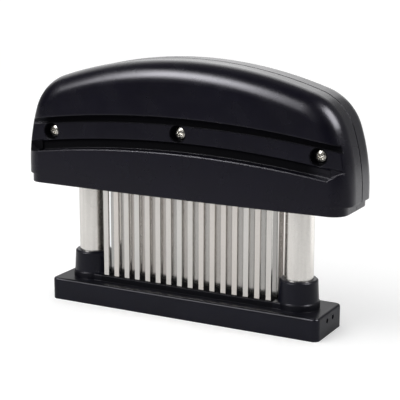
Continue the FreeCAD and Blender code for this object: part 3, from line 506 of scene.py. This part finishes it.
@dataclass(frozen=True)
class GroundTube(Finish):
    """Stainless tube ground round its axis: hair-fine rings and a faint drawn streak.

    The side towards the blades has painted shade: its colour is darkened to a share, as a painted
    reflection of the dark gaps between them.
    """

    ring: float = 0.12 * MM
    ring_stretch: Tuple[float, float, float] = (0.06, 0.06, 1.0)
    ring_depth: float = 0.0012 * MM
    streak_scale: float = 420.0
    streak_stretch: Tuple[float, float, float] = (1.0, 1.0, 0.05)
    streak_dark: float = 0.86
    edge_radius: float = 0.2 * MM
    post: str = "post_right"
    painted_shade_share: float = 0.35
    painted_shade_step: Step = Step(0.8, 0.93)

    def surface(self, shader: Shader) -> Field:
        """The tube's surface; one noise is squeezed into rings and one drawn into streaks.

        How far the surface faces the blades is the distance of the tube's axis from X = 0
        less its own, over the radius.

        Args:
            shader: The material's shader.

        Returns:
            The surface.
        """
        low, high, middle = box_of(self.post)
        axis, radius = float(middle[0]), float(high[0] - low[0]) / 2
        place = shader.position()
        squeezed = shader.stretched(place, self.ring_stretch)
        rings = shader.noise(squeezed, 1.0 / self.ring, detail=3.0, roughness=0.7)
        streaks = shader.noise(shader.stretched(place, self.streak_stretch), self.streak_scale)
        inner = (axis - shader.axes(place)[0].size()) / radius
        plain = shader.mix(MOST_NOISE.of(streaks), scaled(self.colour, self.streak_dark), self.colour)
        return shader.principled({
            # Painted shade: the colour is darkened on the side that faces the blades.
            "Base Color": shader.mix(self.painted_shade_step.of(inner), plain, scaled(self.colour, self.painted_shade_share)),
            "Metallic": 1.0,
            "Roughness": self.gloss(rings, smoother=0.04, rougher=0.05),
            "Normal": shader.bump(rings, self.ring_depth, shader.rounded(self.edge_radius)),
        })


@dataclass(frozen=True)
class RolledStrip(Finish):
    """Polished stainless strip, each blade with its own cast and fine lines down its length.

    The middle row is painted darker, a painted shade for the shade that the two others cast on it, given
    as a share.
    """

    warm: Colour
    pitch: float
    rows_per_metre: float = 170.0
    row_stride: float = 7.0
    cast_turn: float = 12.9898
    cast_spread: float = 43.7585
    line: float = 0.22 * MM
    line_stretch: Tuple[float, float, float] = (1.0, 1.0, 0.03)
    line_depth: float = 0.0015 * MM
    edge_radius: float = 0.12 * MM
    outer_row: str = "blade_row_rear"
    painted_shade_share: float = 0.66

    def surface(self, shader: Shader) -> Field:
        """The strip's surface.

        The number of a blade is its X over the pitch, rounded down, plus a stride for each
        row. A sine of that number, made large, leaves a fraction that picks how warm it is.

        Args:
            shader: The material's shader.

        Returns:
            The surface.
        """
        place = shader.position()
        along, across, _ = shader.axes(place)
        row = (across * self.rows_per_metre).floor()
        number = (along / self.pitch).floor() + row * self.row_stride
        cast = ((number * self.cast_turn).sine() * self.cast_spread).fraction()
        steel = shader.mix(cast.ramp(-1.0, 1.0), self.colour, self.warm)
        half_way = float(box_of(self.outer_row)[2][1]) / 2
        # Painted shade: the middle row's colour is darkened to a share.
        lit = across.size().above(half_way).ramp(0.0, 1.0, self.painted_shade_share, 1.0)
        drawn = shader.stretched(place, self.line_stretch)
        lines = shader.noise(drawn, 1.0 / self.line, detail=3.0, roughness=0.6)
        return shader.principled({
            "Base Color": shader.mix(lit, (0.0, 0.0, 0.0), steel),
            "Metallic": 1.0,
            "Roughness": self.gloss(lines, smoother=0.03, rougher=0.05),
            "Normal": shader.bump(lines, self.line_depth, shader.rounded(self.edge_radius)),
        })


@dataclass(frozen=True)
class PlatedSteel(Finish):
    """Nickel-plated or drawn steel: bright, with a fine uneven skin."""

    grain: float = 0.4 * MM
    grain_depth: float = 0.004 * MM
    grain_step: Step = Step(0.35, 0.7)
    grain_dark: float = 0.8
    edge_radius: float = 0.12 * MM

    def surface(self, shader: Shader) -> Field:
        """The steel's surface, whose colour, gloss and bump go with one noise.

        Args:
            shader: The material's shader.

        Returns:
            The surface.
        """
        skin = shader.noise(shader.position(), 1.0 / self.grain, detail=3.0, roughness=0.6)
        dull = scaled(self.colour, self.grain_dark)
        return shader.principled({
            "Base Color": shader.mix(self.grain_step.of(skin), self.colour, dull),
            "Metallic": 1.0,
            "Roughness": self.gloss(skin, smoother=0.05, rougher=0.08),
            "Normal": shader.bump(skin, self.grain_depth, shader.rounded(self.edge_radius)),
        })


# The handle's zones of painted shade, made matt and dark: two grooves with the left run-out of the lower
# one, seam and seats.
SKIRT_LINE, BAND_FOOT = Arc(70.6 * MM, 465.0 * MM), Arc(74.6 * MM, 480.0 * MM)
BAND_HEAD, PANEL_EDGE = Arc(81.4 * MM, 510.0 * MM), Arc(85.1 * MM, 440.0 * MM)
SEAM_FOOT, SEAM_HEAD = Arc(57.0 * MM), Arc(200.0 * MM)
GROOVE_LIP, GROOVE_FADE = 15.05 * MM, 4.0 * MM
LOWER_GROOVE = MattShadeZone(SKIRT_LINE, BAND_FOOT, near=11.1 * MM, far=GROOVE_LIP, right=60.0 * MM,
                        fade=GROOVE_FADE)
GROOVE_END = MattShadeZone(SKIRT_LINE, BAND_FOOT, near=9.0 * MM, far=17.0 * MM, right=-57.0 * MM,
                      share=0.7, fade=GROOVE_FADE)
UPPER_STRIPE = MattShadeZone(BAND_HEAD, PANEL_EDGE, near=11.8 * MM, far=GROOVE_LIP, left=-66.0 * MM,
                        fade=GROOVE_FADE)
SEAM = MattShadeZone(SEAM_FOOT, SEAM_HEAD, far=0.35 * MM, share=0.7)
SEATS = (MattShadeSeat("case_screw_left"), MattShadeSeat("case_screw_middle"), MattShadeSeat("case_screw_right"))

# The base's zones of painted shade, made matt and dark: its comb, the collars round the posts, and its
# top with the long edges.
TOP_FOOT, TOP_HEAD = Arc(9.0 * MM), Arc(9.9 * MM)
ROUND_FOOT, EDGE_FOOT = Arc(8.4 * MM), Arc(8.5 * MM)
COMB_FOOT, COMB_HEAD, COLLAR_HEAD = Arc(9.2 * MM), Arc(14.0 * MM), Arc(12.4 * MM)
COMB_SIDE, COMB_REACH, TOP_SIDE, ROUND_SIDE = 7.0 * MM, 7.6 * MM, 11.6 * MM, 12.5 * MM
COMB_END, MIDDLE_END, EDGE_END, TOP_FADE = 41.0 * MM, 46.0 * MM, 57.0 * MM, 5.0 * MM
COMB = MattShadeZone(COMB_FOOT, COMB_HEAD, far=COMB_SIDE, left=-COMB_END, right=COMB_END)
COMB_WALL = MattShadeZone(COMB_FOOT, COMB_HEAD, near=COMB_SIDE, far=COMB_REACH, left=-COMB_END,
                     right=COMB_END, share=0.8)
COLLARS = MattShadeZone(TOP_HEAD, COLLAR_HEAD, far=9.0 * MM, share=0.45)
TOP_MIDDLE = MattShadeZone(TOP_FOOT, TOP_HEAD, near=COMB_REACH, far=TOP_SIDE, left=-MIDDLE_END,
                      right=MIDDLE_END, share=0.62, fade=TOP_FADE)
TOP_REST = MattShadeZone(TOP_FOOT, TOP_HEAD, far=TOP_SIDE, share=0.3)
TOP_ROUND = MattShadeZone(ROUND_FOOT, TOP_HEAD, near=TOP_SIDE, far=ROUND_SIDE, left=-EDGE_END,
                     right=EDGE_END, share=0.85, fade=TOP_FADE)
TOP_EDGE = MattShadeZone(EDGE_FOOT, TOP_HEAD, near=ROUND_SIDE, far=13.0 * MM, left=-EDGE_END,
                    right=EDGE_END, share=0.5, fade=TOP_FADE)

FINISHES = (
    PaintedShadePlastic("handle_plastic", (0.0022, 0.0018, 0.0064), 0.26, edge_radius=0.9 * MM,
                      specular=0.25, zones=(LOWER_GROOVE, GROOVE_END, UPPER_STRIPE, SEAM) + SEATS),
    PaintedShadePlastic("base_plastic", (0.0040, 0.0042, 0.0085), 0.30, edge_radius=0.3 * MM, specular=0.19,
                      zones=(COMB, COMB_WALL, COLLARS, TOP_MIDDLE, TOP_REST, TOP_ROUND, TOP_EDGE)),
    MouldedPlastic("carrier_plastic", (0.008, 0.008, 0.009), 0.55, grain=0.5 * MM),
    MouldedPlastic("peg_nylon", (0.62, 0.6, 0.54), 0.45, grain=0.5 * MM),
    GroundTube("post_steel", (0.80, 0.775, 0.74), 0.24),
    RolledStrip("blade_steel", (0.655, 0.67, 0.66), 0.18, warm=(0.70, 0.66, 0.625), pitch=5.14 * MM),
    PlatedSteel("spring_steel", (0.5, 0.5, 0.49), 0.3),
    PlatedSteel("screw_nickel", (0.5, 0.48, 0.44), 0.23),
)


# ---------------------------------------------------------------- making pieces


class Workshop:
    """Keeps one material of each finish and hands it to CAD nodes and new pieces."""

    def __init__(self) -> None:
        """List the finishes and the nodes by name, with no material made."""
        self.finishes = {finish.name: finish for finish in FINISHES}
        self.slots = {part["node"]: part["material_slot"] for part in frame["record"]["subparts"]}
        self.made: Dict[str, bpy.types.Material] = {}

    def material(self, slot: str) -> bpy.types.Material:
        """Give the material of a slot, which is made when it is first asked for.

        Args:
            slot: The slot's name, which is its finish's too.

        Returns:
            The material.
        """
        if slot not in self.made:
            self.made[slot] = self.finishes[slot].build()
        return self.made[slot]

    def dress(self, node: str) -> None:
        """Give a CAD node the finish of its slot in the record.

        Args:
            node: The node's name.
        """
        material = self.material(self.slots[node])
        piece = frame["nodes"][node]
        if not piece.material_slots:
            piece.data.materials.append(material)
        for holder in piece.material_slots:
            holder.material = material
        LOG.info("dressed %s with %s", node, material.name)

    def piece(self, name: str, points: np.ndarray, faces: List[List[int]], slot: str,
              body: str) -> bpy.types.Object:
        """Make a new piece from points and faces, give it its finish and let it ride.

        Args:
            name: The piece's name.
            points: Its points, one row each.
            faces: Its faces, as rows of point numbers.
            slot: The record's material slot.
            body: The body that it rides on.

        Returns:
            The new object.
        """
        mesh = bpy.data.meshes.new(name)
        mesh.from_pydata(points.tolist(), [], faces)
        mesh.polygons.foreach_set("use_smooth", np.ones(len(mesh.polygons), dtype=bool))
        mesh.materials.append(self.material(slot))
        mesh.validate()
        piece = bpy.data.objects.new(name, mesh)
        bpy.context.scene.collection.objects.link(piece)
        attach(piece, body)
        LOG.info("built %s with %d faces", name, len(mesh.polygons))
        return piece


def tube_faces(rings: int, sides: int) -> List[List[int]]:
    """Faces of a closed tube whose points are its rings, one after the other.

    A point's number is its ring times sides, plus its place in the ring. A quad joins it to
    the next point of the ring and to the two beside them in the next ring, and a cap closes
    each end.

    Args:
        rings: Number of rings.
        sides: Number of points in a ring.

    Returns:
        One row of point numbers for each face.
    """
    ring, place = np.arange(rings - 1)[:, None] * sides, np.arange(sides)[None, :]
    after = (place + 1) % sides
    corners = (ring + sides + place, ring + sides + after, ring + after, ring + place)
    quads = np.stack(corners, axis=-1).reshape(-1, 4).tolist()
    first_cap = list(range(sides))
    last_cap = list(range(rings * sides - 1, (rings - 1) * sides - 1, -1))
    return quads + [first_cap, last_cap]


# ---------------------------------------------------------------- sub-assemblies


@dataclass
class SubAssembly:
    """CAD nodes that belong together, with the new pieces that stand in for some of them."""

    shop: Workshop
    nodes: Tuple[str, ...] = ()

    def build(self) -> None:
        """Dress the CAD nodes."""
        for node in self.nodes:
            self.shop.dress(node)


@dataclass
class SlottedBase(SubAssembly):
    """The base plate with its comb and bosses, and the two rods that run through it."""

    nodes: Tuple[str, ...] = ("base_plate", "base_rod_front", "base_rod_rear")


@dataclass
class BladePack(SubAssembly):
    """Three rows of blades, their carrier and the plate that clamps them in it."""

    nodes: Tuple[str, ...] = ("blade_carrier", "blade_clamp_plate", "blade_row_front",
                              "blade_row_middle", "blade_row_rear")


@dataclass
class Posts(SubAssembly):
    """The two posts with what they hold, and the springs in them that shorten with the press."""

    nodes: Tuple[str, ...] = ("post_left", "post_right", "post_plug_left", "post_plug_right",
                              "post_screw_left", "post_screw_right", "post_clip_left",
                              "post_clip_right", "spring_left", "spring_right")
    springs: Tuple[str, ...] = ("spring_left", "spring_right")
    wire: float = 1.2 * MM
    pitch: float = 6.8 * MM
    wire_sides: int = 12
    steps_per_turn: int = 36
    closed_turns: float = 1.0

    def build(self) -> None:
        """Dress the CAD nodes, then make both springs."""
        super().build()
        for node in self.springs:
            self._spring(node)

    def _spring(self, node: str) -> None:
        """Make one spring in the box of its CAD node: a round wire along a helix.

        The helix turns at an even rate. Its height rises by one wire a turn over the closed
        turn at each end, and evenly in between.

        Args:
            node: The CAD node that the spring stands for.
        """
        low, high, middle = box_of(node)
        radius, length = self.wire / 2, float(high[2] - low[2])
        coil = (high[0] - low[0]) / 2 - radius
        lift = length - 2 * radius
        ends = 2 * self.closed_turns * self.wire
        turns = 2 * self.closed_turns + (lift - ends) / self.pitch
        steps = int(round(turns * self.steps_per_turn))
        turn = np.linspace(0.0, turns, steps + 1)[:, None]
        height = np.interp(turn, [0.0, self.closed_turns, turns - self.closed_turns, turns],
                           [0.0, ends / 2, lift - ends / 2, lift])
        angle = 2 * np.pi * turn
        around = 2 * np.pi * np.arange(self.wire_sides)[None, :] / self.wire_sides
        reach = coil + radius * np.cos(around)
        points = np.stack([
            middle[0] + reach * np.cos(angle),
            middle[1] + reach * np.sin(angle),
            low[2] + radius + height + radius * np.sin(around),
        ], axis=-1).reshape(-1, 3)
        faces = tube_faces(steps + 1, self.wire_sides)
        piece = self.shop.piece(f"{node}_coil", points, faces, "spring_steel", "base")
        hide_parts(node)
        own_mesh(piece)


@dataclass
class Handle(SubAssembly):
    """The two shells with their spring pegs, and pan-head screws with a cross recess.

    shank_tip is a share of the shank's radius, cross_limit of the head's height and first_ring
    of the head's radius. Above cross_limit, a point of the screw is on its head's top.
    """

    nodes: Tuple[str, ...] = ("handle_front_shell", "handle_rear_shell", "spring_peg_left",
                              "spring_peg_right", "case_screw_left", "case_screw_middle",
                              "case_screw_right")
    cross_turns: Dict[str, float] = field(default_factory=lambda: {
        "case_screw_left": 20.0, "case_screw_middle": 62.0, "case_screw_right": 38.0})
    head_height: float = 1.7 * MM
    dome: float = 0.6 * MM
    rim: float = 0.35 * MM
    shank_radius: float = 1.45 * MM
    shank_tip: float = 0.4
    cross_length: float = 2.9 * MM
    cross_width: float = 0.75 * MM
    cross_depth: float = 1.0 * MM
    cross_edge: float = 0.1 * MM
    cross_limit: float = 0.4
    columns: int = 144
    top_rings: int = 34
    rim_rings: int = 6
    first_ring: float = 0.02

    def build(self) -> None:
        """Dress the CAD nodes, then make the three screws."""
        super().build()
        for node, turn in self.cross_turns.items():
            self._screw(node, math.radians(turn))

    def _profile(self, radius: float, length: float) -> np.ndarray:
        """Half section of a screw, from the middle of its head to the end of its shank.

        The top is a flat parabola, which falls by dome from its middle to the rim's circle.
        The rim is a quarter of that circle. Heights are measured from the seat.

        Args:
            radius: Radius of the head.
            length: Length of the whole screw.

        Returns:
            One row of radius and height for each ring of points.
        """
        top = np.linspace(self.first_ring, 1.0, self.top_rings) * (radius - self.rim)
        over = self.head_height - self.dome * (top / radius) ** 2
        bend = np.linspace(0.0, np.pi / 2, self.rim_rings + 1)[1:]
        rim = np.stack([top[-1] + self.rim * np.sin(bend), over[-1] - self.rim * (1 - np.cos(bend))])
        foot = self.head_height - length
        rest = np.array([
            [radius, self.shank_radius, self.shank_radius, self.shank_tip * self.shank_radius],
            [0.0, 0.0, foot + self.shank_radius, foot],
        ])
        return np.concatenate([np.stack([top, over]), rim, rest], axis=1).T

    def _cross(self, reach: np.ndarray, angle: np.ndarray) -> np.ndarray:
        """How deep the cross recess is at points of the head.

        A point is in an arm where the lesser of its distances from the two centre lines is
        under half the width, and the greater under half the length. Both edges are smooth
        steps, and the floor rises towards the ends of the arms.

        Args:
            reach: Distances of the points from the head's middle.
            angle: Their angles from one arm.

        Returns:
            The depth at each point.
        """
        sides = np.sort(np.abs(np.stack([reach * np.cos(angle), reach * np.sin(angle)])), axis=0)
        within = (self.cross_width / 2 + self.cross_edge - sides[0]) / (2 * self.cross_edge)
        along = (self.cross_length / 2 - sides[1]) / (4 * self.cross_edge)
        within, along = (np.clip(part, 0.0, 1.0) for part in (within, along))
        smooth = within ** 2 * (3 - 2 * within) * along ** 2 * (3 - 2 * along)
        return self.cross_depth * smooth * (1 - sides[1] / self.cross_length)

    def _screw(self, node: str, turn: float) -> None:
        """Make one screw in the box of its CAD node: its profile turned round its axis.

        Args:
            node: The CAD node that the screw stands for.
            turn: How far its cross is turned, in radians.
        """
        low, high, middle = box_of(node)
        profile = self._profile((high[0] - low[0]) / 2, high[1] - low[1])
        angle = 2 * np.pi * np.arange(self.columns)[None, :] / self.columns
        reach, height = (part + np.zeros_like(angle) for part in (profile[:, :1], profile[:, 1:]))
        cut = height > self.cross_limit * self.head_height
        height = height - np.where(cut, self._cross(reach, angle), 0.0)
        points = np.stack([
            middle[0] + reach * np.cos(angle + turn),
            low[1] + self.head_height - height,
            middle[2] + reach * np.sin(angle + turn),
        ], axis=-1).reshape(-1, 3)
        faces = tube_faces(len(profile), self.columns)
        piece = self.shop.piece(f"{node}_pan_head", points, faces, "screw_nickel", "handle")
        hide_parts(node)


# ---------------------------------------------------------------- studio


@dataclass(frozen=True)
class Camera:
    """A camera on a sphere about its target, level but for a small roll."""

    target: Tuple[float, float, float] = (3.7475 * MM, 0.0, 48.826 * MM)
    distance: float = 517.31 * MM
    azimuth: float = 28.041
    elevation: float = 12.8685
    roll: float = 0.1035
    lens: float = 111.943
    sensor: float = 36.0
    clip_start: float = 0.01
    clip_end: float = 20.0

    def build(self) -> None:
        """Make the camera and let the scene use it.

        From the target it stands along (sin azimuth cos elevation, -cos azimuth cos
        elevation, sin elevation), at its distance.
        """
        azimuth, elevation = math.radians(self.azimuth), math.radians(self.elevation)
        back = Vector((math.sin(azimuth) * math.cos(elevation),
                       -math.cos(azimuth) * math.cos(elevation), math.sin(elevation)))
        camera = bpy.data.objects.new("camera", bpy.data.cameras.new("camera"))
        bpy.context.scene.collection.objects.link(camera)
        level = back.to_track_quat("Z", "Y").to_matrix()
        facing = (level @ Matrix.Rotation(math.radians(self.roll), 3, "Z")).to_4x4()
        camera.matrix_world = Matrix.Translation(Vector(self.target) + self.distance * back) @ facing
        camera.data.sensor_fit = "HORIZONTAL"
        camera.data.sensor_width = self.sensor
        camera.data.lens = self.lens
        camera.data.clip_start = self.clip_start
        camera.data.clip_end = self.clip_end
        bpy.context.scene.camera = camera


@dataclass(frozen=True)
class Floor:
    """A wide round white sheet under the object, which keeps its shadow.

    The camera sees a plain matt white with a little glow, so that the sheet meets the white
    around it. Mirrored, the sheet is darker in front of the object and far behind it, and a
    card of light lies close behind its right end. Steps are along Y, but for the two that say
    otherwise.
    """

    radius: float = 6.0
    sides: int = 64
    seen_white: float = 0.86
    seen_glow: Step = Step(0.2, 1.5, 0.3, 0.45)
    near: Step = Step(-0.40, -0.25)
    near_white: float = 0.88
    front_along_x: Step = Step(-0.25, 0.0, 0.08, 0.17)
    far: Step = Step(0.30, 0.9, 1.0, 0.6)
    card_along_x: Step = Step(0.04, 0.12)
    card_start: Step = Step(0.04, 0.12)
    card_end: Step = Step(0.35, 0.9)
    card_glow: float = 0.65

    def build(self) -> None:
        """Make the sheet, a flat polygon whose points stand evenly on a circle."""
        angle = 2 * np.pi * np.arange(self.sides) / self.sides
        points = np.stack([self.radius * np.cos(angle), self.radius * np.sin(angle), 0 * angle], axis=-1)
        mesh = bpy.data.meshes.new("floor")
        mesh.from_pydata(points.tolist(), [], [list(range(self.sides))])
        mesh.materials.append(self._material())
        floor = bpy.data.objects.new("floor", mesh)
        bpy.context.scene.collection.objects.link(floor)

    def _material(self) -> bpy.types.Material:
        """Make the sheet's material.

        Returns:
            The material.
        """
        material = bpy.data.materials.new("studio_white")
        material.use_nodes = True
        shader = Shader(material.node_tree)
        seen = shader.add("ShaderNodeLightPath", output="Is Camera Ray")
        mirrored = shader.add("ShaderNodeLightPath", output="Is Glossy Ray")
        right, back, _ = shader.axes(shader.position())
        near = self.near.of(back)
        lit = near * self.near_white + (1.0 - near) * self.front_along_x.of(right)
        white = seen * self.seen_white + (1.0 - seen) * (lit * self.far.of(back))
        card = self.card_along_x.of(right) * self.card_start.of(back) * (1.0 - self.card_end.of(back))
        glow = seen * self.seen_glow.of(back) + mirrored * card * self.card_glow
        shader.close(shader.principled({
            "Base Color": shader.grey(white), "Roughness": 1.0, "Specular IOR Level": 0.0,
            "Emission Color": (1.0, 1.0, 1.0), "Emission Strength": glow,
        }))
        return material


@dataclass(frozen=True)
class Sky:
    """White to the camera and an even light on what is matt.

    Mirrored or seen through glass, it is the product of four steps: dim in front and white
    behind, duller to the right, duller at the far left, and duller overhead.
    """

    back: Step = Step(-0.3, 0.5, 0.1, 0.9)
    right: Step = Step(-0.5, 0.35, 1.0, 0.42)
    far_left: Step = Step(-0.9, -0.6, 0.25, 1.0)
    overhead: Step = Step(0.5, 0.85, 1.0, 0.45)
    even: float = 0.7

    def build(self) -> None:
        """Make the world and its shader."""
        world = bpy.data.worlds.new("studio")
        bpy.context.scene.world = world
        world.use_nodes = True
        shader = Shader(world.node_tree)
        right, back, up = shader.axes(shader.add("ShaderNodeTexCoord", output="Generated"))
        seen = shader.add("ShaderNodeLightPath", output="Is Camera Ray")
        glossy = shader.add("ShaderNodeLightPath", output="Is Glossy Ray")
        through = shader.add("ShaderNodeLightPath", output="Is Transmission Ray")
        bent = glossy.greatest(through)
        sides = self.right.of(right) * self.far_left.of(right)
        mirrored = self.back.of(back) * self.overhead.of(up) * sides
        strength = seen + (1.0 - seen) * (bent * mirrored + (1.0 - bent) * self.even)
        inputs = {"Color": (1.0, 1.0, 1.0), "Strength": strength}
        shader.close(shader.add("ShaderNodeBackground", {}, inputs), "ShaderNodeOutputWorld")


class Shown(Enum):
    """What a lamp shows on."""

    MATT = "surfaces that scatter its light"
    MIRRORED = "surfaces that mirror it"


@dataclass(frozen=True)
class SoftBox:
    """One rectangular lamp that faces the camera's target from a direction, at a distance."""

    name: str
    direction: Tuple[float, float, float]
    size: Tuple[float, float]
    watts: float
    shown: Shown = Shown.MIRRORED
    distance: float = 0.9

    def build(self, target: Vector) -> None:
        """Make the lamp.

        Args:
            target: The point that it faces.
        """
        lamp = bpy.data.lights.new(self.name, "AREA")
        lamp.shape = "RECTANGLE"
        lamp.size, lamp.size_y = self.size
        lamp.energy = self.watts
        holder = bpy.data.objects.new(self.name, lamp)
        bpy.context.scene.collection.objects.link(holder)
        facing = Vector(self.direction).normalized()
        place = Matrix.Translation(target + self.distance * facing)
        holder.matrix_world = place @ facing.to_track_quat("Z", "Y").to_matrix().to_4x4()
        holder.visible_camera = False
        holder.visible_glossy = self.shown is Shown.MIRRORED
        holder.visible_diffuse = self.shown is Shown.MATT


# The left box is two of one place, so that its middle is brighter and its image has soft sides.
LEFT_FRONT = (-0.424, -0.679, 0.599)
LAMPS = (
    SoftBox("key", (-0.45, -0.45, 0.80), (0.70, 0.70), 3.2, Shown.MATT),
    SoftBox("soft_box_left", LEFT_FRONT, (0.30, 0.30), 9.6),
    SoftBox("soft_box_left_rim", LEFT_FRONT, (0.58, 0.58), 11.5),
    SoftBox("soft_box_right", (0.742, -0.039, 0.669), (0.45, 0.55), 18.0),
    SoftBox("soft_box_back", (-0.43, 0.71, 0.55), (0.60, 0.29), 0.62, distance=0.45),
)


@dataclass
class Studio:
    """Everything that isn't the object."""

    camera: Camera = Camera()
    floor: Floor = Floor()
    sky: Sky = Sky()
    lamps: Tuple[SoftBox, ...] = LAMPS

    def build(self) -> None:
        """Set up the camera first, then the floor, the sky and the lamps."""
        self.camera.build()
        self.floor.build()
        self.sky.build()
        for lamp in self.lamps:
            lamp.build(Vector(self.camera.target))
        bpy.context.scene.view_settings.view_transform = "Standard"


# ---------------------------------------------------------------- main


def main() -> None:
    """Build the studio, then the object's sub-assemblies in order."""
    logging.basicConfig(level=logging.INFO, format="%(name)s: %(message)s")
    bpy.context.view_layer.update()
    Studio().build()
    shop = Workshop()
    for sub_assembly in (SlottedBase(shop), Posts(shop), BladePack(shop), Handle(shop)):
        sub_assembly.build()


if __name__ == "__main__":
    main()
